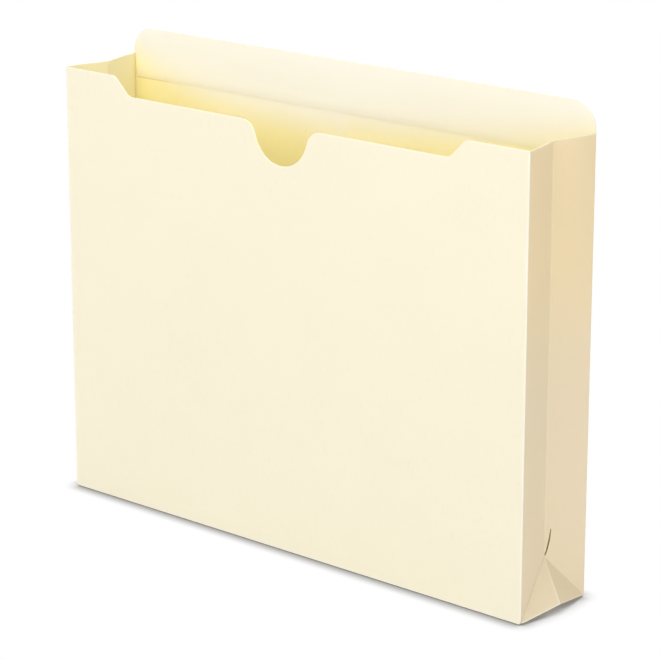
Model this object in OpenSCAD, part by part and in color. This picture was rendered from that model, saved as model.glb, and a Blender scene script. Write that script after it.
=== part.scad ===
// Expanding file jacket: letter-size card pocket with bellows sides and bottom.
// Millimetres. X runs across the jacket, Y from front to back, Z up.
// The origin is on the floor, under the middle of the pocket.

/* [Panels] */
// Width across the jacket, outside its side folds
panel_w = 298.45; // [220:0.05:420]
// Height of the front shoulders and of the side gussets
front_h = 227; // [150:0.1:300]
// Height of the back panel's tab above them
tab_h = 14.3; // [8:0.1:40]
// Thickness of the card
board = 0.28; // [0.2:0.01:0.45]

/* [Gussets] */
// Width of a gusset pulled out flat, from fold to fold
expansion = 50.8; // [36:0.1:80]
// Fold of each gusset leaf at rest, counted from fully open
rest_fold = 13; // [8:0.5:18]
// Fold of each gusset leaf when the jacket is pressed flat
closed_fold = 78; // [70:0.5:80]

/* [Top edges] */
// Corner radius of the back tab
tab_corner_r = 12.7; // [4:0.1:20]
// How far the second ply inside the tab reaches below the gussets' top
ply_lap = 12.7; // [6:0.1:40]
// Length of each front shoulder, from the side fold
shoulder_l = 36; // [20:0.5:50]
// Drop from the shoulders to the low front edge
shoulder_drop = 9.5; // [7:0.1:14]
// Slope of the step below a shoulder
shoulder_slope = 45; // [35:1:60]
// Rounding at both ends of that step
shoulder_r = 5.5; // [3:0.1:7]
// Depth of the thumb notch below the low front edge
notch_depth = 20; // [14:0.1:26]
// Radius of the bottom of the notch
notch_r = 17; // [12:0.1:22]
// Radius of the curves that lead into the notch
notch_lead_r = 9; // [6:0.1:12]

/* [Glued laps] */
// Width of the side flaps glued inside the front panel
flap_w = 12.7; // [8:0.1:20]
// How far the flaps stop below the shoulders
flap_top_inset = 7; // [3:0.5:20]
// Taper of a flap's ends, along the fold
flap_taper = 6; // [2:0.5:12]
// Depth of the end tabs glued inside the corner webs
end_tab_h = 7; // [4:0.1:9]

/* [Clearances] */
// Free play at a fold, beside the card's own thickness
fold_clear = 0.12; // [0.08:0.01:0.25]
// Gap between a corner web's free edges and its neighbours
web_clear = 0.3; // [0.2:0.01:0.5]

/* [Hidden] */
$fn = 48;
arc_steps = 12;

// Colours of the card: lit faces, shaded gusset faces and the inside of the pocket
card_face = "#faf2da";
card_gusset = "#e6d3a8";
card_inside = "#f0dc92";

// Each gusset is two leaves with a crease between them
leaf_w = expansion / 2;
back_h = front_h + tab_h;

// A fold turns about the line where the two inner faces meet, and is rounded to one board
fold_x = panel_w / 2 - board;
fold_z = board;
half_depth = leaf_w * cos(rest_fold) + board * sin(rest_fold);

// An edge at a fold stops short of the neighbour's rounded fold
fold_gap = board + fold_clear;
// Further from a fold than this, a leaf that is pressed flat clears one ply
lap_gap = (board + fold_clear) * tan(closed_fold);
// A side leaf stops this far above the corner diagonal, to clear the bottom when pressed flat
diagonal_gap = board / cos(closed_fold) - board * cos(closed_fold) + fold_clear;

// The corner webs fold outward on the diagonals until their ridges meet half way
web_fold = 2 * atan(sqrt(2) * tan(rest_fold));
ridge_lift = leaf_w / 2 * (1 - cos(web_fold));
web_slope = (leaf_w * sin(rest_fold) - ridge_lift) / (leaf_w - ridge_lift);
ridge_top_x = -leaf_w * sin(rest_fold);
ridge_foot_x = leaf_w / 2 * (sqrt(2) * cos(rest_fold) * sin(web_fold) - sin(rest_fold) * (1 + cos(web_fold)));
web_reach = ridge_foot_x + (ridge_top_x - ridge_foot_x) * web_slope;

// Top edge of the front panel
low_z = front_h - shoulder_drop;
step_top_x = fold_x - shoulder_l;
step_low_x = step_top_x - shoulder_drop / tan(shoulder_slope);
step_turn = shoulder_r * tan(shoulder_slope / 2);
notch_z = low_z - notch_depth + notch_r;
lead_z = low_z - notch_lead_r;
lead_x = sqrt(pow(notch_r + notch_lead_r, 2) - pow(lead_z - notch_z, 2));
notch_turn = atan2(lead_z - notch_z, lead_x);

function arc(centre, r, from, to) = [
    for (i = [0:arc_steps])
        let (a = from + (to - from) * i / arc_steps)
        centre + r * [cos(a), sin(a)]
];
function flipped(points) = [for (i = [len(points) - 1:-1:0]) [-points[i].x, points[i].y]];
function both_halves(points) = concat(points, flipped(points));

// Right half of the front panel, from the notch's bottom to the bottom fold
function front_half() = concat(
    arc([0, notch_z], notch_r, -85, notch_turn),
    arc([lead_x, lead_z], notch_lead_r, 180 + notch_turn, 90),
    arc([step_low_x - step_turn, low_z + shoulder_r], shoulder_r, -90, shoulder_slope - 90),
    arc([step_top_x + step_turn, front_h - shoulder_r], shoulder_r, shoulder_slope + 90, 90),
    [[fold_x, front_h], [fold_x, fold_z]]
);

// Right half of the tab's rounded top, down to just above the gussets
tab_low_z = front_h + fold_gap;
tab_r = min(tab_corner_r, back_h - tab_low_z);
function tab_half() = concat(
    arc([panel_w / 2 - tab_r, back_h - tab_r], tab_r, 90, 0),
    [[panel_w / 2, tab_low_z]]
);

// Stands a front-view outline up, with its inner face on the front panel's inner face
module upright_front(inner_y) {
    translate([0, inner_y, 0])
        rotate([90, 0, 0])
            linear_extrude(board)
                children();
}

// The same for an outline whose card lies behind the given face
module upright_back(inner_y) {
    upright_front(inner_y + board)
        children();
}

// Rounded folds down both sides and along the bottom of a panel at a given inner face
module panel_folds(inner_y) {
    for (side = [-1, 1])
        translate([side * fold_x, inner_y, fold_z + lap_gap])
            cylinder(r = board, h = front_h - fold_z - lap_gap);
    translate([-fold_x, inner_y, fold_z])
        rotate([0, 90, 0])
            cylinder(r = board, h = 2 * fold_x);
}

module back_panel() {
    color(card_face) {
        upright_back(half_depth)
            polygon(both_halves(concat(
                tab_half(),
                [[fold_x, tab_low_z], [fold_x, fold_z]]
            )));
        panel_folds(half_depth);
    }
}

module tab_ply() {
    ply_x = fold_x - lap_gap;
    color(card_inside)
        upright_front(half_depth)
            polygon(both_halves(concat(
                tab_half(),
                [[ply_x, tab_low_z], [ply_x, front_h - ply_lap]]
            )));
}

module front_panel() {
    color(card_face) {
        upright_front(-half_depth)
            polygon(both_halves(front_half()));
        panel_folds(-half_depth);
    }
}

// Glue flap of the right gusset, on the inner face of the front panel
module front_flap_right() {
    flap_x = fold_x - lap_gap;
    flap_low = fold_z + lap_gap + fold_gap;
    flap_top = front_h - flap_top_inset;
    color(card_inside)
        upright_back(-half_depth)
            polygon([
                [flap_x, flap_low],
                [flap_x, flap_top],
                [flap_x - flap_w, flap_top - flap_taper],
                [flap_x - flap_w, flap_low + flap_taper]
            ]);
}

module front_flap_left() {
    mirror([1, 0, 0]) front_flap_right();
}

// Frame of the right front leaf: x from the front fold to the crease, y up, z outward
module on_front_leaf() {
    translate([fold_x, -half_depth, fold_z])
        rotate([90, 0, 90 + rest_fold])
            children();
}

// A gusset leaf that ends a given distance short of the crease, cut on the corner diagonal
module leaf_plate(crease_gap) {
    far = leaf_w - crease_gap;
    linear_extrude(board)
        polygon([
            [fold_gap, fold_gap + diagonal_gap],
            [far, far + diagonal_gap],
            [far, front_h - fold_z],
            [fold_gap, front_h - fold_z]
        ]);
}

// The crease is rounded on the back leaf, and lies on the outer faces of both leaves
module crease_fold() {
    crease_low = leaf_w + diagonal_gap + lap_gap;
    translate([leaf_w, crease_low, board])
        rotate([-90, 0, 0])
            cylinder(r = board, h = front_h - fold_z - crease_low);
}

module gusset_front_leaf_right() {
    color(card_gusset)
        on_front_leaf()
            leaf_plate(fold_gap);
}

module gusset_back_leaf_right() {
    color(card_gusset)
        mirror([0, 1, 0])
            on_front_leaf() {
                leaf_plate(0);
                crease_fold();
            }
}

module gusset_front_leaf_left() {
    mirror([1, 0, 0]) gusset_front_leaf_right();
}

module gusset_back_leaf_left() {
    mirror([1, 0, 0]) gusset_back_leaf_right();
}

// A bottom leaf rises from its fold to the crease, and reaches out under the corner webs
module bottom_plate(crease_gap) {
    near_x = fold_x - fold_gap;
    far = leaf_w - crease_gap;
    far_x = near_x + web_reach * far / leaf_w;
    translate([0, -half_depth, fold_z])
        rotate([rest_fold, 0, 0])
            translate([0, 0, -board])
                linear_extrude(board)
                    polygon([[-near_x, fold_gap], [near_x, fold_gap], [far_x, far], [-far_x, far]]);
}

module bottom_front_leaf() {
    color(card_inside)
        bottom_plate(fold_gap);
}

// The bottom crease is rounded on the back leaf, on the lower faces
module bottom_back_leaf() {
    color(card_inside)
        mirror([0, 1, 0]) {
            bottom_plate(0);
            translate([-fold_x, -half_depth, fold_z])
                rotate([rest_fold, 0, 0])
                    translate([0, leaf_w, -board])
                        rotate([0, 90, 0])
                            cylinder(r = board, h = 2 * fold_x);
        }
}

// Frame of the right front corner web: the leaf's frame, folded outward on the diagonal
module on_front_web() {
    on_front_leaf()
        translate([0, 0, board])
            rotate(web_fold, [-1, -1, 0])
                translate([0, 0, -board])
                    children();
}

// Triangle from the corner to the crease, with its hinge edge rounded on the diagonal
module corner_web_front_right() {
    far = leaf_w - web_clear;
    near = web_clear / (1 - web_slope);
    hinge_in = fold_gap + web_clear;
    hinge_l = sqrt(2) * (far - fold_gap - hinge_in);
    color(card_gusset)
        on_front_web() {
            linear_extrude(board)
                polygon([[near, near], [far, far * web_slope + web_clear], [far, far]]);
            translate([hinge_in, hinge_in, board])
                rotate([-90, 0, -45])
                    cylinder(r = board, h = hinge_l);
        }
}

module corner_web_back_right() {
    mirror([0, 1, 0]) corner_web_front_right();
}

module corner_web_front_left() {
    mirror([1, 0, 0]) corner_web_front_right();
}

module corner_web_back_left() {
    mirror([1, 0, 0]) corner_web_back_right();
}

// Tab of the bottom's end, turned up and glued to the inner face of the web
module end_tab_front_right() {
    edge = web_clear + 2 * board;
    far = leaf_w - 2 * web_clear - board;
    near = (edge + lap_gap) / (1 - web_slope);
    top_near = near + end_tab_h;
    color(card_inside)
        on_front_web()
            translate([0, 0, -board])
                linear_extrude(board)
                    polygon([
                        [near, near * web_slope + edge],
                        [far, far * web_slope + edge],
                        [far, far * web_slope + edge + end_tab_h],
                        [top_near, top_near * web_slope + edge + end_tab_h]
                    ]);
}

module end_tab_back_right() {
    mirror([0, 1, 0]) end_tab_front_right();
}

module end_tab_front_left() {
    mirror([1, 0, 0]) end_tab_front_right();
}

module end_tab_back_left() {
    mirror([1, 0, 0]) end_tab_back_right();
}

back_panel();
tab_ply();
front_panel();
front_flap_right();
front_flap_left();
gusset_back_leaf_right();
gusset_front_leaf_right();
gusset_back_leaf_left();
gusset_front_leaf_left();
bottom_back_leaf();
bottom_front_leaf();
corner_web_back_right();
corner_web_front_right();
corner_web_back_left();
corner_web_front_left();
end_tab_back_right();
end_tab_front_right();
end_tab_back_left();
end_tab_front_left();
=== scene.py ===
import math

import bmesh
import bpy
from mathutils import Matrix, Vector


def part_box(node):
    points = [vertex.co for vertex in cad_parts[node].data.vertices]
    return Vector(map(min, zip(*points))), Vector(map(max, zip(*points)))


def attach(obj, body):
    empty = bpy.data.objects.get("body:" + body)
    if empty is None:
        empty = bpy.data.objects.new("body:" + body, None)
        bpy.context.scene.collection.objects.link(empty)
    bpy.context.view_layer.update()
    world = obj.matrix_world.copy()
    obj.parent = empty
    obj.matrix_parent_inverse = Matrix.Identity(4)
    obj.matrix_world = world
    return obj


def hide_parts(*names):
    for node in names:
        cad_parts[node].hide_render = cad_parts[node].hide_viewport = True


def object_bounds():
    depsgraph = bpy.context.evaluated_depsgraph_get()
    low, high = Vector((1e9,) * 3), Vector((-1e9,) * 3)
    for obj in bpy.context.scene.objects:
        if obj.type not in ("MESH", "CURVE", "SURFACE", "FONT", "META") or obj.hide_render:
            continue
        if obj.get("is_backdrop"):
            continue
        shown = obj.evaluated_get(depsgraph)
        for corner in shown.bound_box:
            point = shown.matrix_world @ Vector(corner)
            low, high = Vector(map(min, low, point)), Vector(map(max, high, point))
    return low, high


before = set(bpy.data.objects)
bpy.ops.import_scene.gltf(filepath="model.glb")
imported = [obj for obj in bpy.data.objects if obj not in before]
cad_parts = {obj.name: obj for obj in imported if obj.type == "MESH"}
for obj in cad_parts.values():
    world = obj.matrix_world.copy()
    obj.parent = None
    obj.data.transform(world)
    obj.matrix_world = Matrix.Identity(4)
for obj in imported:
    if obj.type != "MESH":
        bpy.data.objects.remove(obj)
cad_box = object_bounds()

# Sizes are metres, as in the frame. X runs across the jacket, Y from front to back, Z up.
MM = 0.001
FRONT, BACK = -1, 1
LEFT, RIGHT = -1, 1
END_NAMES = {FRONT: "front", BACK: "back"}
SIDE_NAMES = {LEFT: "left", RIGHT: "right"}
RIGHT_ANGLE = math.pi / 2

# The card and its folds
BOARD = 0.28 * MM
LEAF_W = 25.4 * MM
REST_FOLD = math.radians(13)
CLOSED_FOLD = math.radians(78)

# Outside sizes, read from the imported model
PANEL_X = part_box("back_panel")[1].x
OUTER_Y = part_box("back_panel")[1].y
BACK_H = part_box("back_panel")[1].z
FRONT_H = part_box("front_panel")[1].z

# A fold turns about the line where the two inner faces meet
FOLD_X = PANEL_X - BOARD
FOLD_Z = BOARD
HALF_DEPTH = OUTER_Y - BOARD
LEAF_H = FRONT_H - FOLD_Z
FOLD_TURN = RIGHT_ANGLE + CLOSED_FOLD

# Corner webs fold outward on the diagonals until their ridges meet half way
WEB_FOLD = 2 * math.atan(math.sqrt(2) * math.tan(REST_FOLD))
RIDGE_LIFT = LEAF_W / 2 * (1 - math.cos(WEB_FOLD))
WEB_SLOPE = (LEAF_W * math.sin(REST_FOLD) - RIDGE_LIFT) / (LEAF_W - RIDGE_LIFT)

# Lower edge of the webs, which hangs a little below the ends of the bottom glued inside them
FOOT_SLOPE = 0.06

# Top edges
TAB_R = 12.7 * MM
PLY_LAP = 12.7 * MM
SHOULDER_L = 36 * MM
SHOULDER_DROP = 9.5 * MM
SHOULDER_R = 5.5 * MM
SHOULDER_SLOPE = math.radians(45)
NOTCH_DEPTH = 20 * MM
NOTCH_R = 17 * MM
NOTCH_LEAD_R = 9 * MM
LOW_Z = FRONT_H - SHOULDER_DROP
STEP_TOP_X = FOLD_X - SHOULDER_L
STEP_LOW_X = STEP_TOP_X - SHOULDER_DROP / math.tan(SHOULDER_SLOPE)
STEP_TURN = SHOULDER_R * math.tan(SHOULDER_SLOPE / 2)
RISE_START = STEP_LOW_X - STEP_TURN
FALL_END = STEP_TOP_X + STEP_TURN
STEP_CURVE = SHOULDER_R * math.sin(SHOULDER_SLOPE)
NOTCH_Z = LOW_Z - NOTCH_DEPTH + NOTCH_R
LEAD_Z = LOW_Z - NOTCH_LEAD_R
LEAD_X = math.sqrt((NOTCH_R + NOTCH_LEAD_R) ** 2 - (LEAD_Z - NOTCH_Z) ** 2)
NOTCH_TURN = math.atan2(LEAD_Z - NOTCH_Z, LEAD_X)

# Glued laps, and clearances between neighbours
FLAP_W = 12.7 * MM
FLAP_TOP_INSET = 7 * MM
FLAP_TAPER = 6 * MM
END_TAB_H = 7 * MM
END_TAB_EDGE = 0.9 * MM
TURN_START = 3 * MM
TURN_SLOPE = 0.21
LAP_GAP = 1.9 * MM
PLY_GAP = 1.4 * MM
DIAGONAL_GAP = 0.25 * MM
GLUE = 0.01 * MM

# Small forms of the card: blunt corners, bows, the pressed edge of the tab's ply
CORNER_R = 1.1 * MM
CORNER_LIFT = 0.6 * MM
BLUNT_SLOPE = 1 / 3
PANEL_BOWS = {FRONT: 0.8 * MM, BACK: 1.3 * MM}
FRONT_LEAF_BOW = 0.4 * MM
BACK_LEAF_BOWS = {LEFT: 0.6 * MM, RIGHT: 1.2 * MM}
SWELL_SCALE = 4
SWELL_FALL = 1.4
CURL_H = 115 * MM
WEB_BOW = 3 * MM
CREASE_BEAD = 0.12 * MM
CREASE_BEAD_W = 1.7 * MM
PLY_PRESS = 0.8
PLY_PRESS_REACH = 2.5 * MM

# Faint waves of the panels, a broad one and a fine one, held flat at the folds
RIPPLE = 0.1 * MM
BROAD_SHARE = 0.6
BROAD_X, BROAD_Z = 31, 23
BROAD_SHIFT_X, BROAD_SHIFT_Z = 1.7, 2.3
FINE_X, FINE_Z = 57, 43
WAVE_PHASE = 1.3
WAVE_GROWTH = 8
WAVE_FOOT = 20 * MM

# The slits above the webs, and the sheet behind them painted dark as the shade seen through them
SLIT_RISE = 12.8 * MM
SLIT_FOOT = 0.7 * MM
SLIT_REACH = 4.0 * MM
SLIT_CURVE = 1.6
SLIT_END = 0.12
SLIT_W = 1.3 * MM
SLIT_STEEPNESS = (SLIT_RISE - SLIT_FOOT) / SLIT_REACH
SLIT_OPEN = 0.01 * MM
SLIT_SHEET_DEPTH = 0.3 * MM
SLIT_MARGIN = 1.5 * MM

# Meshes: how closely their points stand, which points count as one, and which edges are sharp
EDGE_STEPS = (0.35 * MM, 0.8 * MM, 2.2 * MM)
EDGE_SHARE = 0.1
BEAD_STEPS = 8
WIDE_STEP = 6 * MM
ARC_STEP = math.radians(6)
PANEL_ROWS = 30
LEAF_ROWS = 30
LEAF_COLUMNS = 10
SLIT_COLUMNS = 14
WEB_COLUMNS = 12
MIDDLE_ROWS = 8
SMALL_ROWS = 5
FLOOR_CELLS = 8
SAME_PLACE = 0.001 * MM
WELD = 0.002 * MM
SHARP_ANGLE = math.radians(40)

# Colours of the card, linear: outer faces; gussets and their tops, webs and inside faces, which carry
# painted shade and painted light;
# pale edges, part worn, part painted highlight and light; brown painted shade in creases, below the ply's
# edge and behind the slits; clouds and fibres
CARD_FACE = (0.945, 0.885, 0.69, 1)
CARD_GUSSET_SHADE = (0.945, 0.80, 0.565, 1)
CARD_TOP_LIGHT = (1.0, 0.815, 0.51, 1)
CARD_SHADED = (0.74, 0.63, 0.42, 1)
CARD_INNER_SHADE = (1.0, 0.90, 0.455, 1)
CARD_PALE_WEAR_AND_LIGHT = (0.988, 0.965, 0.88, 1)
CARD_BROWN_SHADE = (0.52, 0.27, 0.06, 1)
CARD_CLOUD = (0.80, 0.66, 0.40, 1)
CARD_FIBRE = (0.74, 0.58, 0.33, 1)

# Grain of the card, from noise: its scale, detail and stretch, the noise where it begins and is full,
# and what it is worth at both
CLOUDS = {"scale": 28, "detail": 3, "begin": 0.35, "full": 0.65, "least": 0.0, "most": 0.035}
FIBRES = {"scale": 900, "detail": 4, "begin": 0.60, "full": 0.74, "least": 0.0, "most": 0.10}
FIBRE_STRETCH = (1, 1, 0.25)
FLECKS = {"scale": 700, "detail": 4, "begin": 0.62, "full": 0.75, "least": 0.0, "most": 0.14}
FLECK_STRETCH = (0.3, 1, 1)
ROUGHNESS = {"scale": 400, "detail": 3, "begin": 0.3, "full": 0.7, "least": 0.68, "most": 0.84}
BUMP_SCALE = 1300
BUMP_DETAIL = 5
BUMP_STRENGTH = 0.25
BUMP_DEPTH = 0.04 * MM
SPECULAR = 0.25

# How pale cut edges are, part worn, part painted highlight; how pale the painted highlights on folds,
# creases and ridges are; how brown the painted shade in the inner folds and creases and below the ply's edge
# is; how pale the slit's lips are worn; and how far that reaches
FOLD_HIGHLIGHT = 0.55
CREASE_HIGHLIGHT = 0.25
WEB_HIGHLIGHTS = {FRONT: FOLD_HIGHLIGHT, BACK: 0.2}
CUT_WEAR_AND_HIGHLIGHT = 0.3
LIP_WEAR = 0.4
INNER_FOLD_SHADE = 0.14
PLY_EDGE_SHADES = {LEFT: 0.45, RIGHT: 0.2}
PLY_EDGE_SHADE_FADE = 0.3
MARK_FULL = 0.25 * MM
MARK_REACH = 0.95 * MM

# Painted shade inside the pocket: the inner faces are as pale as the outside at the mouth, where painted
# light shows, and are painted a deeper, warmer yellow below it and in the corners
INNER_SHADE_TOP = FRONT_H - 8 * MM
INNER_SHADE_RANGE = 28 * MM
CORNER_RISES = {LEFT: 28 * MM, RIGHT: 25 * MM}
CORNER_REACHES = {LEFT: 32 * MM, RIGHT: 75 * MM}
FOLD_SHADE_REACH = 11 * MM
FOLD_SHADE_H = 10 * MM
DEEP_Z = FRONT_H - 45 * MM
DEEP_RANGE = 80 * MM
DEEP_SHADE_DROP = 0.5
LEAF_INNER_SHADE = 0.5
PLY_INNER_SHADE = 0.65
MOUTH_LIGHT = 0.95

# Painted shade of the webs, from 1 for a gusset's to 2 for the darkest, and where the painted light on the
# gussets' lighter, warmer top sets in
WEB_SHADES = {FRONT: 1.4, BACK: 1.65}
TOP_LIGHT_LOW = 105 * MM
TOP_LIGHT_HIGH = 175 * MM

# Camera, fitted to the photograph's square frame
IMAGE_PX = 660
SENSOR_MM = 36.0
CAMERA_AZIMUTH = math.radians(41.18)
CAMERA_ELEVATION = math.radians(16.43)
CAMERA_DISTANCE = 1.3907
CAMERA_FOCAL_PX = 2809
CAMERA_TARGET = Vector((0.0088, 0.0, 0.1113))

# Stage: the floor with its contact shadow, the sky, and each lamp's power and place
WHITE = (1, 1, 1, 1)
BLACK = (0, 0, 0, 1)
FLOOR_SIZE = 8.0
FLOOR_DROP = 0.5 * MM
FLOOR_SHADOW = (0.26, 0.24, 0.21, 1)
FLOOR_BOUNCE = (0.55, 0.55, 0.55, 1)
SHADOW_REACH = 8 * MM
SHADOW_FULL = 0.4
SKY_STRENGTH = 0.30
LAMP_SIZE = 1.4
LAMPS = {
    "key": (11.1, Vector((-0.10, -1.42, 1.05))),
    "top": (25.2, Vector((0.0, -0.35, 1.80))),
    "side": (10.3, Vector((1.70, -0.50, 0.35))),
    "back_light": (19.0, Vector((-0.40, 1.50, 1.10))),
}

# Places of the sockets of a node that mixes colours
MIX_FACTOR, MIX_BELOW, MIX_ABOVE = 0, 6, 7
MIX_RESULT = 2


def span(start, end, count):
    """count + 1 evenly spaced values from start to end."""
    return [start + (end - start) * i / count for i in range(count + 1)]


def smooth(low, high, x):
    """Rises smoothly from 0 at low to 1 at high."""
    t = min(1.0, max(0.0, (x - low) / (high - low)))
    return t * t * (3 - 2 * t)


def ripple(x, z, phase):
    """A faint uneven wave of the card, between about -1 and 1."""
    broad = math.sin(BROAD_X * x + BROAD_SHIFT_X * phase) * math.cos(BROAD_Z * z + BROAD_SHIFT_Z * phase)
    fine = math.sin(FINE_X * x - FINE_Z * z + phase)
    return BROAD_SHARE * broad + (1 - BROAD_SHARE) * fine


def edge_mark(distance, strength):
    """How strongly a mark shows at a distance from a fold or a cut edge: pale worn edges and painted
    highlights above 0, brown painted shade below 0.
    """
    return strength * (1 - smooth(MARK_FULL, MARK_REACH, max(0.0, distance)))


def no_wear(u, v, outer):
    """Wear of a lap that stays hidden."""
    return 0.0


def close_to_ends(low, high, count):
    """Values from low to high with count steps between, and extra ones close to both ends."""
    steps = [min(d, EDGE_SHARE * (i + 1) * (high - low)) for i, d in enumerate(EDGE_STEPS)]
    near = [low + d for d in steps]
    far = [high - d for d in reversed(steps)]
    return [low] + near + span(near[-1], far[0], count)[1:-1] + far + [high]


def distinct(values):
    """The values in order, without near doubles."""
    kept = []
    for value in sorted(values):
        if not kept or value - kept[-1] > SAME_PLACE:
            kept.append(value)
    return kept


def bead(limit):
    """Places along a sheet that go on round its fold past limit, far enough for a closed fold."""
    return [limit + BOARD * turn for turn in span(0, FOLD_TURN, BEAD_STEPS)[1:]]


def arc_columns(centre, radius, start, end):
    """Places across a round stretch of an outline, evenly spaced round the arc."""
    count = math.ceil(abs(end - start) / ARC_STEP)
    return [centre + radius * math.cos(a) for a in span(start, end, count)]


class Card:
    """A sheet of card with columns along u and points along v, an inner face and an outer face."""

    # The tags paint light and shade: shade paints the gussets' and webs' shade on outer faces, the top tag
    # paints light on a gusset's top, inside paints the pocket's shade on inner faces, and the fourth tag
    # carries pale worn edges, painted highlights and light, and below 0 brown painted shade
    def __init__(self, name, shade=0.0, inside=lambda u, v: 1.0, top_light=lambda v: 0.0):
        self.name = name
        self.shade = shade
        self.inside = inside
        self.top_light = top_light
        self.bm = bmesh.new()
        keys = ("shade", "top_light", "inside", "wear_and_painted_light")
        self.tags = {key: self.bm.verts.layers.float.new(key) for key in keys}

    def point(self, place, wear_and_painted_light, u, v, h):
        """A point of a face, tagged for the material. h is 0 inside and BOARD outside."""
        vert = self.bm.verts.new(place(u, v, h))
        outer = h / BOARD
        vert[self.tags["shade"]] = self.shade * outer
        vert[self.tags["top_light"]] = self.top_light(v) * outer
        vert[self.tags["inside"]] = self.inside(u, v) * (1 - outer)
        vert[self.tags["wear_and_painted_light"]] = wear_and_painted_light(u, v, outer)
        return vert

    def rim(self, inner, outer, i, j, k, m):
        """A face between the inner and the outer face, from point i, j to point k, m."""
        self.bm.faces.new((inner[i][j], inner[k][m], outer[k][m], outer[i][j]))

    def fill(self, columns, heights, place, wear_and_painted_light, slit_row=None):
        """Lays both faces and the rim. heights(u) has equally many values for every u.
        No face bridges the row after slit_row, so the card is cut where those two rows part."""
        inner, outer = (
            [[self.point(place, wear_and_painted_light, u, v, h) for v in heights(u)] for u in columns] for h in (0.0, BOARD)
        )
        last_u = len(columns) - 1
        last_v = len(inner[0]) - 1
        rows = [j for j in range(last_v) if j != slit_row]
        for i in range(last_u):
            for j in rows:
                self.bm.faces.new((inner[i][j], inner[i][j + 1], inner[i + 1][j + 1], inner[i + 1][j]))
                self.bm.faces.new((outer[i][j], outer[i + 1][j], outer[i + 1][j + 1], outer[i][j + 1]))
            for j in (0, last_v):
                self.rim(inner, outer, i, j, i + 1, j)
            if slit_row is not None and self.parted(outer, i, slit_row):
                self.rim(inner, outer, i, slit_row, i + 1, slit_row)
                self.rim(inner, outer, i, slit_row + 1, i + 1, slit_row + 1)
        for i in (0, last_u):
            for j in rows:
                self.rim(inner, outer, i, j, i, j + 1)

    def parted(self, grid, i, j):
        """Whether rows j and j + 1 are apart somewhere between columns i and i + 1."""
        gaps = [(grid[k][j].co - grid[k][j + 1].co).length for k in (i, i + 1)]
        return max(gaps) > SLIT_OPEN

    def finish(self, body, node):
        """Welds the mesh, makes the piece and sets it on its body in place of its CAD node."""
        bmesh.ops.remove_doubles(self.bm, verts=self.bm.verts, dist=WELD)
        bmesh.ops.dissolve_degenerate(self.bm, dist=SAME_PLACE, edges=self.bm.edges)
        bmesh.ops.recalc_face_normals(self.bm, faces=self.bm.faces)
        mesh = bpy.data.meshes.new(self.name)
        self.bm.to_mesh(mesh)
        self.bm.free()
        mesh.shade_smooth()
        mesh.set_sharp_from_angle(angle=SHARP_ANGLE)
        mesh.materials.append(card_material())
        piece = bpy.data.objects.new(self.name, mesh)
        bpy.context.scene.collection.objects.link(piece)
        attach(piece, body)
        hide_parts(node)


def add_noise(tree, scale, detail, stretch):
    """Noise in the piece's own coordinates."""
    coords = tree.nodes.new("ShaderNodeTexCoord")
    mapping = tree.nodes.new("ShaderNodeMapping")
    mapping.inputs["Scale"].default_value = stretch
    texture = tree.nodes.new("ShaderNodeTexNoise")
    texture.inputs["Scale"].default_value = scale
    texture.inputs["Detail"].default_value = detail
    tree.links.new(coords.outputs["Object"], mapping.inputs["Vector"])
    tree.links.new(mapping.outputs["Vector"], texture.inputs["Vector"])
    return texture.outputs["Fac"]


def add_ramp(tree, value, begin, full, least=0, most=1):
    """Goes from least to most while the value goes from begin to full."""
    remap = tree.nodes.new("ShaderNodeMapRange")
    limits = {"From Min": begin, "From Max": full, "To Min": least, "To Max": most}
    for key, number in limits.items():
        remap.inputs[key].default_value = number
    tree.links.new(value, remap.inputs["Value"])
    return remap.outputs["Result"]


def add_grain(tree, scale, detail, begin, full, least, most, stretch=(1, 1, 1)):
    """A ramp over noise."""
    return add_ramp(tree, add_noise(tree, scale, detail, stretch), begin, full, least, most)


def add_tag(tree, name):
    """A value that each point of a sheet carries."""
    attribute = tree.nodes.new("ShaderNodeAttribute")
    attribute.attribute_name = name
    return attribute.outputs["Fac"]


def add_mix(tree, factor, below, above):
    """A mix of two colours, each a plain colour or another node's output."""
    node = tree.nodes.new("ShaderNodeMix")
    node.data_type = "RGBA"
    tree.links.new(factor, node.inputs[MIX_FACTOR])
    for place, colour in ((MIX_BELOW, below), (MIX_ABOVE, above)):
        if isinstance(colour, tuple):
            node.inputs[place].default_value = colour
        else:
            tree.links.new(colour, node.inputs[place])
    return node.outputs[MIX_RESULT]


def card_colour(tree):
    """The card's tone with the painted shade of gussets and webs, the painted light on the gussets' tops and
    the painted shade inside the pocket, its clouds, fibres and flecks, and then its worn and highlighted
    edges and its brown painted shade.
    """
    shade = add_tag(tree, "shade")
    wear_and_painted_light = add_tag(tree, "wear_and_painted_light")
    colour = CARD_FACE
    for factor, above in (
        # Painted shade of gussets and webs, painted light on a gusset's top, and painted shade inside the
        # pocket
        (add_ramp(tree, shade, 0, 1), CARD_GUSSET_SHADE),
        (add_ramp(tree, shade, 1, 2), CARD_SHADED),
        (add_tag(tree, "top_light"), CARD_TOP_LIGHT),
        (add_tag(tree, "inside"), CARD_INNER_SHADE),
        (add_grain(tree, **CLOUDS), CARD_CLOUD),
        (add_grain(tree, **FIBRES, stretch=FIBRE_STRETCH), CARD_FIBRE),
        (add_grain(tree, **FLECKS, stretch=FLECK_STRETCH), CARD_PALE_WEAR_AND_LIGHT),
        # Pale worn edges, painted highlights and painted light, then brown painted shade below 0
        (add_ramp(tree, wear_and_painted_light, 0, 1), CARD_PALE_WEAR_AND_LIGHT),
        (add_ramp(tree, wear_and_painted_light, 0, -1), CARD_BROWN_SHADE),
    ):
        colour = add_mix(tree, factor, colour, above)
    return colour


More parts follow.
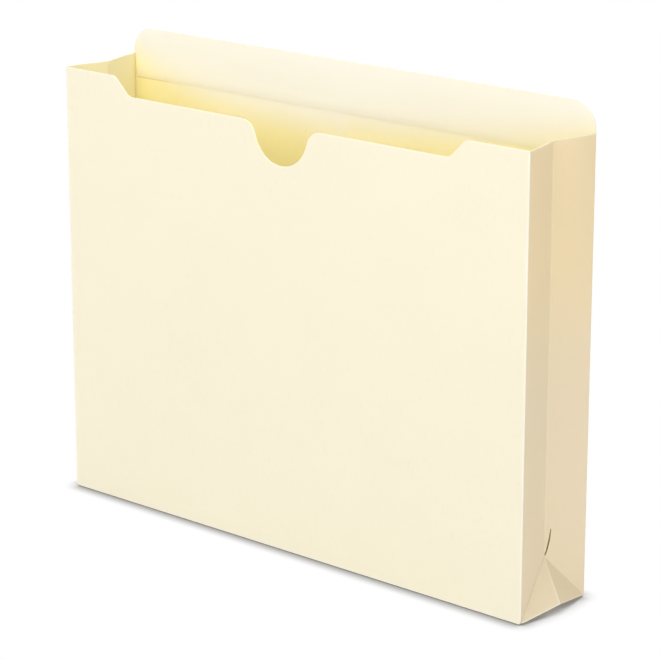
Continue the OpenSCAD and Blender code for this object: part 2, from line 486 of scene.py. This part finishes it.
def card_material():
    """Manila card: pale and matte, with a grain; pale cut edges, part worn, part painted highlight; painted
    highlights along folds, creases and ridges; brown painted shade in the inner folds and creases and below
    the ply's edge; and painted shade and light in the tones of gussets, webs and inside faces.
    """
    found = bpy.data.materials.get("manila_card_paper")
    if found:
        return found
    material = bpy.data.materials.new("manila_card_paper")
    material.use_nodes = True
    tree = material.node_tree
    shader = tree.nodes["Principled BSDF"]
    shader.inputs["Specular IOR Level"].default_value = SPECULAR
    tree.links.new(card_colour(tree), shader.inputs["Base Color"])
    tree.links.new(add_grain(tree, **ROUGHNESS), shader.inputs["Roughness"])

    bump = tree.nodes.new("ShaderNodeBump")
    bump.inputs["Strength"].default_value = BUMP_STRENGTH
    bump.inputs["Distance"].default_value = BUMP_DEPTH
    tree.links.new(add_noise(tree, BUMP_SCALE, BUMP_DETAIL, (1, 1, 1)), bump.inputs["Height"])
    tree.links.new(bump.outputs["Normal"], shader.inputs["Normal"])
    return material


def front_top(x):
    """Height of the front panel's top edge at x: thumb notch, low edge, step, shoulder."""
    x = abs(x)
    if x <= NOTCH_R * math.cos(NOTCH_TURN):
        return NOTCH_Z - math.sqrt(NOTCH_R ** 2 - x ** 2)
    if x <= LEAD_X:
        return LEAD_Z + math.sqrt(NOTCH_LEAD_R ** 2 - (LEAD_X - x) ** 2)
    if x <= RISE_START:
        return LOW_Z
    if x <= RISE_START + STEP_CURVE:
        return LOW_Z + SHOULDER_R - math.sqrt(SHOULDER_R ** 2 - (x - RISE_START) ** 2)
    if x <= FALL_END - STEP_CURVE:
        return LOW_Z + (x - STEP_LOW_X) * math.tan(SHOULDER_SLOPE)
    if x <= FALL_END:
        return FRONT_H - SHOULDER_R + math.sqrt(SHOULDER_R ** 2 - (FALL_END - x) ** 2)
    return FRONT_H


def front_features():
    """Columns of the front panel's notch and steps, on its right half."""
    return (
        arc_columns(0, NOTCH_R, NOTCH_TURN, -RIGHT_ANGLE)
        + arc_columns(LEAD_X, NOTCH_LEAD_R, math.pi + NOTCH_TURN, RIGHT_ANGLE)
        + arc_columns(RISE_START, SHOULDER_R, -RIGHT_ANGLE, SHOULDER_SLOPE - RIGHT_ANGLE)
        + arc_columns(FALL_END, SHOULDER_R, SHOULDER_SLOPE + RIGHT_ANGLE, RIGHT_ANGLE)
    )


def back_top(x):
    """Height of the back panel's tab at x, with round corners."""
    inset = min(TAB_R, max(0.0, abs(x) - (FOLD_X - TAB_R)))
    return BACK_H - TAB_R + math.sqrt(TAB_R ** 2 - inset ** 2)


def back_features():
    """Columns of the tab's right corner."""
    return arc_columns(FOLD_X - TAB_R, TAB_R, RIGHT_ANGLE, 0)


def panel_low(x):
    """Lower end of a panel's column, with blunt corners at the sides."""
    inset = min(CORNER_R, max(0.0, abs(x) - (FOLD_X - CORNER_R)))
    return FOLD_Z + CORNER_R - math.sqrt(CORNER_R ** 2 - inset ** 2)


def panel_columns(features):
    """Columns across the right half of a panel, close together at its side."""
    corner = arc_columns(FOLD_X - CORNER_R, CORNER_R, 0, RIGHT_ANGLE)
    even = span(0, FOLD_X, math.ceil(FOLD_X / WIDE_STEP))
    return even + [FOLD_X - d for d in EDGE_STEPS] + [x for x in features + corner if x <= FOLD_X]


def both_sides(half):
    """The columns of a whole panel, from those of its right half."""
    return distinct([side * x for x in half for side in (LEFT, RIGHT)])


def panel_bow(end, x, z):
    """Outward bow of a panel, strongest in the middle of its free top edge, with faint waves."""
    across = max(0.0, 1 - (x / FOLD_X) ** 2)
    free = min(1.0, WAVE_GROWTH * across) * smooth(0, WAVE_FOOT, z)
    waves = RIPPLE * free * ripple(x, z, WAVE_PHASE * end)
    return PANEL_BOWS[end] * across * smooth(0, FRONT_H, z) + waves


def painted_inner_shade(x, z):
    """The pocket's painted shade on the inside of a panel at x and z: how far it is painted a deeper, warmer
    yellow there.
    """
    to_fold = max(0.0, FOLD_X - abs(x))
    side = LEFT if x < 0 else RIGHT
    top = INNER_SHADE_TOP + CORNER_RISES[side] * math.exp(-to_fold / CORNER_REACHES[side])
    deep = smooth(0, INNER_SHADE_RANGE, top - z) * (1 - DEEP_SHADE_DROP * smooth(0, DEEP_RANGE, DEEP_Z - z))
    at_fold = math.exp(-to_fold / FOLD_SHADE_REACH) * smooth(0, FOLD_SHADE_H, FRONT_H - z)
    return 1 - (1 - deep) * (1 - at_fold)


def mouth_light(shade_amount):
    """Painted light at the pocket's mouth: how much paler the inside of a panel is painted where its painted
    shade is that small.
    """
    return MOUTH_LIGHT * (1 - shade_amount) ** 2


def panel_point(end, x, z, h):
    """A point of the front or back panel, h outside its inner face, turned over at the folds."""
    if abs(x) > FOLD_X:
        turn = (abs(x) - FOLD_X) / BOARD
        fold_x = math.copysign(FOLD_X + h * math.sin(turn), x)
        return Vector((fold_x, end * (HALF_DEPTH + h * math.cos(turn)), z))
    if z < FOLD_Z:
        turn = (FOLD_Z - z) / BOARD
        return Vector((x, end * (HALF_DEPTH + h * math.cos(turn)), FOLD_Z - h * math.sin(turn)))
    return Vector((x, end * (HALF_DEPTH + h + panel_bow(end, x, z)), z))


def build_panel(end, top, features):
    """A panel with its round folds down both sides and along the bottom."""
    node = f"{END_NAMES[end]}_panel"

    def heights(x):
        low = panel_low(x)
        high = FRONT_H if abs(x) > FOLD_X else top(x)
        round_fold = [2 * FOLD_Z - z for z in reversed(bead(FOLD_Z))]
        if abs(x) > FOLD_X - CORNER_R:
            round_fold = [low] * BEAD_STEPS
        return round_fold + close_to_ends(low, high, PANEL_ROWS)

    def place(x, z, h):
        return panel_point(end, x, z, h)

    def wear_and_painted_light(x, z, outer):
        to_fold = min(FOLD_X - abs(x), z - panel_low(x))
        # Painted highlight along the outer folds, brown painted crease shade along the inner ones; cut edges
        # are pale, part worn, part painted highlight
        at_fold = edge_mark(to_fold, FOLD_HIGHLIGHT if outer else -INNER_FOLD_SHADE)
        # Painted light at the pocket's mouth on the inner face
        plain = 0 if outer else mouth_light(painted_inner_shade(x, z))
        return edge_mark(top(x) - z, CUT_WEAR_AND_HIGHLIGHT) or at_fold or plain

    card = Card(f"card_{node}", inside=painted_inner_shade)
    card.fill(both_sides(panel_columns(features) + bead(FOLD_X)), heights, place, wear_and_painted_light)
    card.finish(END_NAMES[end], node)


def build_tab_ply():
    """The second ply inside the tab. Its lower edge is pressed thinner against the back panel."""
    low = FRONT_H - PLY_LAP
    end_x = FOLD_X - PLY_GAP

    def heights(x):
        base = low if abs(x) <= end_x else FRONT_H
        return close_to_ends(base, back_top(x), MIDDLE_ROWS)

    def place(x, z, h):
        pressed = PLY_PRESS * (1 - smooth(0, PLY_PRESS_REACH, z - low))
        depth = GLUE + (BOARD - h) * (1 - pressed)
        return Vector((x, HALF_DEPTH + panel_bow(BACK, x, z) - depth, z))

    # The pocket's painted shade on the ply, weaker than on the panel
    def ply_inner_shade(x, z):
        return PLY_INNER_SHADE * painted_inner_shade(x, z)

    def wear_and_painted_light(x, z, outer):
        # Painted light at the pocket's mouth, less a brown painted shadow line along the ply's lower edge,
        # strongest at the left
        to_right = smooth(-end_x, PLY_EDGE_SHADE_FADE * end_x, x)
        edge_shade = PLY_EDGE_SHADES[LEFT] + (PLY_EDGE_SHADES[RIGHT] - PLY_EDGE_SHADES[LEFT]) * to_right
        return mouth_light(ply_inner_shade(x, z)) - edge_mark(z - low, edge_shade)

    step = [end_x, end_x + GLUE]
    card = Card("card_tab_ply", inside=ply_inner_shade)
    card.fill(both_sides(panel_columns(back_features()) + step), heights, place, wear_and_painted_light)
    card.finish("back", "tab_ply")


def build_front_flap(side):
    """Glue flap of a side gusset, on the inner face of the front panel."""
    node = f"front_flap_{SIDE_NAMES[side]}"
    outer_x = FOLD_X - LAP_GAP
    inner_x = outer_x - FLAP_W
    low = FOLD_Z + LAP_GAP
    high = FRONT_H - FLAP_TOP_INSET

    def heights(x):
        taper = FLAP_TAPER * (outer_x - x) / FLAP_W
        return close_to_ends(low + taper, high - taper, LEAF_ROWS)

    def place(x, z, h):
        bow = panel_bow(FRONT, x, z)
        return Vector((side * x, -HALF_DEPTH - bow + BOARD + GLUE - h, z))

    def wear_and_painted_light(x, z, outer):
        return edge_mark(x - inner_x, CUT_WEAR_AND_HIGHLIGHT)

    card = Card(f"card_{node}")
    card.fill(close_to_ends(inner_x, outer_x, SMALL_ROWS), heights, place, wear_and_painted_light)
    card.finish("front", node)


def leaf_axes():
    """Corner, direction from the front fold to the crease, and outward direction of the right front leaf."""
    corner = Vector((FOLD_X, -HALF_DEPTH, FOLD_Z))
    along = Vector((-math.sin(REST_FOLD), math.cos(REST_FOLD), 0))
    outward = Vector((math.cos(REST_FOLD), math.sin(REST_FOLD), 0))
    return corner, along, outward


def mirrored(co, end, side):
    """Mirrors a point of the right front corner to another corner."""
    return Vector((side * co.x, -end * co.y, co.z))


def sheet_point(fold, along, outward, u, h):
    """A point of a leaf, u from its panel fold, h outside its inner face, turned over at the crease."""
    if u <= LEAF_W:
        return fold + u * along + h * outward
    turn = (u - LEAF_W) / BOARD
    crease = fold + LEAF_W * along + BOARD * outward
    return crease + (BOARD - h) * (math.sin(turn) * along - math.cos(turn) * outward)


def leaf_bow(end, side, u, v):
    """Outward bow of a gusset leaf. The back leaf swells near its back fold and is beaded at the crease."""
    t = min(1.0, max(0.0, u / LEAF_W))
    if end == FRONT:
        return FRONT_LEAF_BOW * math.sin(math.pi * t) * smooth(LEAF_W, LEAF_H, v)
    swell = SWELL_SCALE * t * (1 - t) ** SWELL_FALL
    bead_share = min(1.0, max(0.0, (LEAF_W - u) / CREASE_BEAD_W))
    pressed = CREASE_BEAD * math.sin(math.pi * bead_share) ** 2
    return BACK_LEAF_BOWS[side] * swell * smooth(LEAF_H - CURL_H, LEAF_H, v) + pressed


def leaf_point(end, side, u, v, h):
    """A point of a gusset leaf, u from its panel fold, v up, h outside its inner face."""
    corner, along, outward = leaf_axes()
    at_foot = sheet_point(corner, along, outward, u, h + leaf_bow(end, side, u, v))
    return mirrored(at_foot + Vector((0, 0, v)), end, side)


def slit_at(u):
    """Height and opening of the slit that runs from the web's top into the back leaf."""
    share = min(1.0, max(0.0, (LEAF_W - u) / SLIT_REACH))
    middle = LEAF_W + SLIT_FOOT + (SLIT_RISE - SLIT_FOOT) * share ** SLIT_CURVE
    steepness = SLIT_STEEPNESS * SLIT_CURVE * share ** (SLIT_CURVE - 1)
    return middle, SLIT_W * steepness * smooth(0, SLIT_END, 1 - share)


def add_slit_shade_sheet(card, end, side):
    """Sheet of card behind the slit of a back leaf, whose outer face is painted dark brown as the shade seen
    through the slit.
    """

    def place(u, v, h):
        return leaf_point(end, side, u, v, h - BOARD - SLIT_SHEET_DEPTH)

    columns = close_to_ends(LEAF_W - SLIT_REACH - SLIT_MARGIN, LEAF_W, SMALL_ROWS)
    rows = close_to_ends(LEAF_W, LEAF_W + SLIT_RISE + SLIT_MARGIN, SMALL_ROWS)
    # Its outer face takes the full brown painted shade
    card.fill(columns, lambda u: rows, place, lambda u, v, outer: -outer)


def build_leaf(end, side):
    """A gusset leaf, cut on the corner diagonal. The back leaf has the round crease and the slit."""
    node = f"gusset_{END_NAMES[end]}_leaf_{SIDE_NAMES[side]}"
    columns = close_to_ends(0, LEAF_W, LEAF_COLUMNS)
    if end == BACK:
        columns += span(LEAF_W - SLIT_REACH, LEAF_W, SLIT_COLUMNS) + bead(LEAF_W)

    def low(u):
        return max(min(u, LEAF_W), CORNER_LIFT) + (DIAGONAL_GAP if end == FRONT else 0)

    def heights(u):
        if end == FRONT:
            return close_to_ends(low(u), LEAF_H, LEAF_ROWS)
        middle, gap = slit_at(u)
        below = close_to_ends(low(u), middle - gap / 2, SMALL_ROWS)
        return below + close_to_ends(middle + gap / 2, LEAF_H, LEAF_ROWS)

    def place(u, v, h):
        return leaf_point(end, side, u, v, h)

    def wear_and_painted_light(u, v, outer):
        middle, gap = slit_at(u)
        cut = end == BACK and gap > SLIT_OPEN
        at_slit = edge_mark((abs(v - middle) - gap / 2) / SLIT_STEEPNESS, LIP_WEAR) if cut else 0
        # Painted highlight along the crease outside, brown painted crease shade along the fold and crease
        # inside
        at_fold = edge_mark(LEAF_W - u, CREASE_HIGHLIGHT) if outer else edge_mark(min(u, LEAF_W - u), -INNER_FOLD_SHADE)
        return max(edge_mark(LEAF_H - v, CUT_WEAR_AND_HIGHLIGHT), at_slit) or at_fold

    # Painted light: a gusset is painted lighter and warmer towards its top
    def top_light(v):
        return smooth(TOP_LIGHT_LOW, TOP_LIGHT_HIGH, v)

    slit_row = len(close_to_ends(0, 1, SMALL_ROWS)) - 1 if end == BACK else None
    # Shade 1 paints the gusset's shade on the outer face; the inner face takes half the pocket's painted
    # shade
    card = Card(f"card_{node}", shade=1.0, inside=lambda u, v: LEAF_INNER_SHADE, top_light=top_light)
    card.fill(distinct(columns), heights, place, wear_and_painted_light, slit_row)
    if end == BACK:
        add_slit_shade_sheet(card, end, side)
    card.finish(f"gusset_{END_NAMES[end]}_{SIDE_NAMES[side]}", node)


def web_point(end, side, u, v, h):
    """A point of a corner web: the leaf's frame, folded outward on the diagonal."""
    corner, along, outward = leaf_axes()
    turn = Matrix.Rotation(WEB_FOLD, 3, Vector((-1, -1, 0)))
    folded = turn @ Vector((u, v, h - BOARD))
    co = corner + folded.x * along + Vector((0, 0, folded.y)) + (folded.z + BOARD) * outward
    return mirrored(co, end, side)


def web_low(u):
    """Lower edge of a web, blunt at the jacket's corner."""
    return max(FOOT_SLOPE * u, CORNER_LIFT - BLUNT_SLOPE * u)


def build_web(end, side):
    """Corner web: the triangle between the diagonal, the bottom edge and the ridge."""
    node = f"corner_web_{END_NAMES[end]}_{SIDE_NAMES[side]}"
    start = CORNER_LIFT / (1 + BLUNT_SLOPE)

    def heights(u):
        return close_to_ends(web_low(u), max(u, web_low(u)), MIDDLE_ROWS)

    def place(u, v, h):
        from_sides = (u - v) * (v - FOOT_SLOPE * u) * (LEAF_W - u) / LEAF_W ** 3
        return web_point(end, side, u, v, h + WEB_BOW * from_sides)

    def wear_and_painted_light(u, v, outer):
        # Painted highlights along the ridge and along the lower edge, fainter at the back
        at_ridge = edge_mark(LEAF_W - u, WEB_HIGHLIGHTS[end] * (1 - v / LEAF_W))
        return outer * max(at_ridge, edge_mark(v - web_low(u), WEB_HIGHLIGHTS[end]))

    # Painted shade of the web, darker at the back
    card = Card(f"card_{node}", shade=WEB_SHADES[end])
    card.fill(close_to_ends(start, LEAF_W, WEB_COLUMNS), heights, place, wear_and_painted_light)
    card.finish(f"web_{END_NAMES[end]}_{SIDE_NAMES[side]}", node)


def build_end_tab(end, side):
    """Tab of the bottom's end, turned up and glued to the inner face of a web."""
    node = f"end_tab_{END_NAMES[end]}_{SIDE_NAMES[side]}"
    near = (END_TAB_EDGE + LAP_GAP) / (1 - WEB_SLOPE)
    far = LEAF_W - 2 * BOARD

    def heights(u):
        low = WEB_SLOPE * u + END_TAB_EDGE
        return close_to_ends(low, low + min(END_TAB_H, (1 - WEB_SLOPE) * (u - near)), SMALL_ROWS)

    def place(u, v, h):
        return web_point(end, side, u, v, h - BOARD - GLUE)

    card = Card(f"card_{node}")
    card.fill(close_to_ends(near, far, MIDDLE_ROWS), heights, place, no_wear)
    card.finish(f"web_{END_NAMES[end]}_{SIDE_NAMES[side]}", node)


def bottom_half_width(t):
    """Half the length of the bottom at a distance from its fold, out to the webs."""
    foot = web_point(FRONT, RIGHT, LEAF_W, WEB_SLOPE * LEAF_W, 0).x
    return FOLD_X + (foot - FOLD_X) * min(1.0, t / LEAF_W)


def add_turned_end(card, end, side):
    """End of a bottom leaf, turned up inside the end tab of a web."""

    def heights(u):
        return close_to_ends(WEB_SLOPE * u, (WEB_SLOPE + TURN_SLOPE) * u, SMALL_ROWS)

    def place(u, v, h):
        return web_point(end, side, u, v, h - 2 * (BOARD + GLUE))

    card.fill(close_to_ends(TURN_START, LEAF_W - 2 * BOARD, SMALL_ROWS), heights, place, no_wear)


def build_bottom_leaf(end):
    """A bottom leaf rises from its panel's fold to the crease. Its ends are turned up inside the webs,
    and the back leaf has the round crease."""
    node = f"bottom_{END_NAMES[end]}_leaf"
    fold = Vector((0, -HALF_DEPTH, FOLD_Z))
    along = Vector((0, math.cos(REST_FOLD), math.sin(REST_FOLD)))
    below = Vector((0, math.sin(REST_FOLD), -math.cos(REST_FOLD)))
    columns = close_to_ends(0, LEAF_W, SMALL_ROWS)
    if end == BACK:
        columns += bead(LEAF_W)

    def heights(t):
        reach = bottom_half_width(t) - max(0.0, CORNER_R - t)
        return close_to_ends(-reach, reach, LEAF_ROWS)

    def place(t, x, h):
        return mirrored(sheet_point(fold, along, below, t, h) + Vector((x, 0, 0)), end, RIGHT)

    def wear_and_painted_light(t, x, outer):
        # Painted highlight along the crease
        return edge_mark(LEAF_W - t, CREASE_HIGHLIGHT) * outer

    # Shade 1 paints the gusset's shade outside; the inner face takes half the pocket's painted shade
    card = Card(f"card_{node}", shade=1.0, inside=lambda u, v: LEAF_INNER_SHADE)
    card.fill(distinct(columns), heights, place, wear_and_painted_light)
    for side in (LEFT, RIGHT):
        add_turned_end(card, end, side)
    card.finish(f"bottom_{END_NAMES[end]}", node)


def build_jacket():
    """All 19 pieces of the jacket."""
    build_panel(BACK, back_top, back_features())
    build_panel(FRONT, front_top, front_features())
    build_tab_ply()
    for end in (FRONT, BACK):
        build_bottom_leaf(end)
    for side in (LEFT, RIGHT):
        build_front_flap(side)
        for end in (FRONT, BACK):
            build_leaf(end, side)
            build_web(end, side)
            build_end_tab(end, side)


def seen_directly(tree):
    """1 for what the camera, a reflection or a clear surface shows, 0 for light that falls on things."""
    path = tree.nodes.new("ShaderNodeLightPath")
    seen = path.outputs["Is Camera Ray"]
    for ray in ("Is Glossy Ray", "Is Transmission Ray"):
        larger = tree.nodes.new("ShaderNodeMath")
        larger.operation = "MAXIMUM"
        tree.links.new(seen, larger.inputs[0])
        tree.links.new(path.outputs[ray], larger.inputs[1])
        seen = larger.outputs["Value"]
    return seen


def build_world():
    """An even white sky. It is seen as plain white and lights the jacket a little lower."""
    world = bpy.data.worlds.new("studio")
    bpy.context.scene.world = world
    world.use_nodes = True
    tree = world.node_tree
    light = tree.nodes["Background"]
    light.inputs["Color"].default_value = WHITE
    light.inputs["Strength"].default_value = SKY_STRENGTH
    white = tree.nodes.new("ShaderNodeBackground")
    white.inputs["Color"].default_value = WHITE
    white.inputs["Strength"].default_value = 1.0
    choose = tree.nodes.new("ShaderNodeMixShader")
    tree.links.new(seen_directly(tree), choose.inputs["Fac"])
    tree.links.new(light.outputs["Background"], choose.inputs[1])
    tree.links.new(white.outputs["Background"], choose.inputs[2])
    tree.links.new(choose.outputs["Shader"], tree.nodes["World Output"].inputs["Surface"])


def floor_material():
    """Seen as white with the jacket's contact shadow. It throws grey light on the jacket."""
    material = bpy.data.materials.new("white_floor")
    material.use_nodes = True
    tree = material.node_tree
    shader = tree.nodes["Principled BSDF"]
    shader.inputs["Roughness"].default_value = 1.0
    shader.inputs["Specular IOR Level"].default_value = 0.0
    nearby = tree.nodes.new("ShaderNodeAmbientOcclusion")
    nearby.inputs["Distance"].default_value = SHADOW_REACH
    covered = add_ramp(tree, nearby.outputs["AO"], SHADOW_FULL, 1, 1, 0)
    seen = seen_directly(tree)
    tree.links.new(add_mix(tree, seen, FLOOR_BOUNCE, BLACK), shader.inputs["Base Color"])
    tree.links.new(add_mix(tree, covered, WHITE, FLOOR_SHADOW), shader.inputs["Emission Color"])
    tree.links.new(seen, shader.inputs["Emission Strength"])
    return material


def build_floor():
    """A plain flat floor just below the jacket."""
    bm = bmesh.new()
    bmesh.ops.create_grid(bm, x_segments=FLOOR_CELLS, y_segments=FLOOR_CELLS, size=FLOOR_SIZE / 2)
    mesh = bpy.data.meshes.new("floor")
    bm.to_mesh(mesh)
    bm.free()
    mesh.materials.append(floor_material())
    floor = bpy.data.objects.new("floor", mesh)
    floor.location.z = -FLOOR_DROP
    bpy.context.scene.collection.objects.link(floor)
    floor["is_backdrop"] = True


def build_lamp(name, power, place):
    """A large soft lamp aimed at the jacket."""
    lamp = bpy.data.lights.new(name, "AREA")
    lamp.shape = "DISK"
    lamp.size = LAMP_SIZE
    lamp.energy = power
    holder = bpy.data.objects.new(name, lamp)
    holder.location = place
    holder.rotation_euler = (CAMERA_TARGET - place).to_track_quat("-Z", "Y").to_euler()
    bpy.context.scene.collection.objects.link(holder)


def build_camera():
    """The camera at the photograph's viewing angle."""
    data = bpy.data.cameras.new("camera")
    data.sensor_width = SENSOR_MM
    data.lens = CAMERA_FOCAL_PX / IMAGE_PX * SENSOR_MM
    camera = bpy.data.objects.new("camera", data)
    flat = math.cos(CAMERA_ELEVATION)
    back = Vector((
        math.sin(CAMERA_AZIMUTH) * flat,
        -math.cos(CAMERA_AZIMUTH) * flat,
        math.sin(CAMERA_ELEVATION),
    ))
    camera.location = CAMERA_TARGET + back * CAMERA_DISTANCE
    camera.rotation_euler = (-back).to_track_quat("-Z", "Y").to_euler()
    bpy.context.scene.collection.objects.link(camera)
    bpy.context.scene.camera = camera


def write_sizes():
    """Works out the CAD box and the visual model's box as plain lists, which are not kept."""
    boxes = {"cad": cad_box, "visual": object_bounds()}
    plain = {name: [list(corner) for corner in box] for name, box in boxes.items()}


bpy.context.scene.view_settings.view_transform = "Standard"
build_camera()
build_world()
build_floor()
for lamp_name, (lamp_power, lamp_place) in LAMPS.items():
    build_lamp(lamp_name, lamp_power, lamp_place)
build_jacket()
write_sizes()
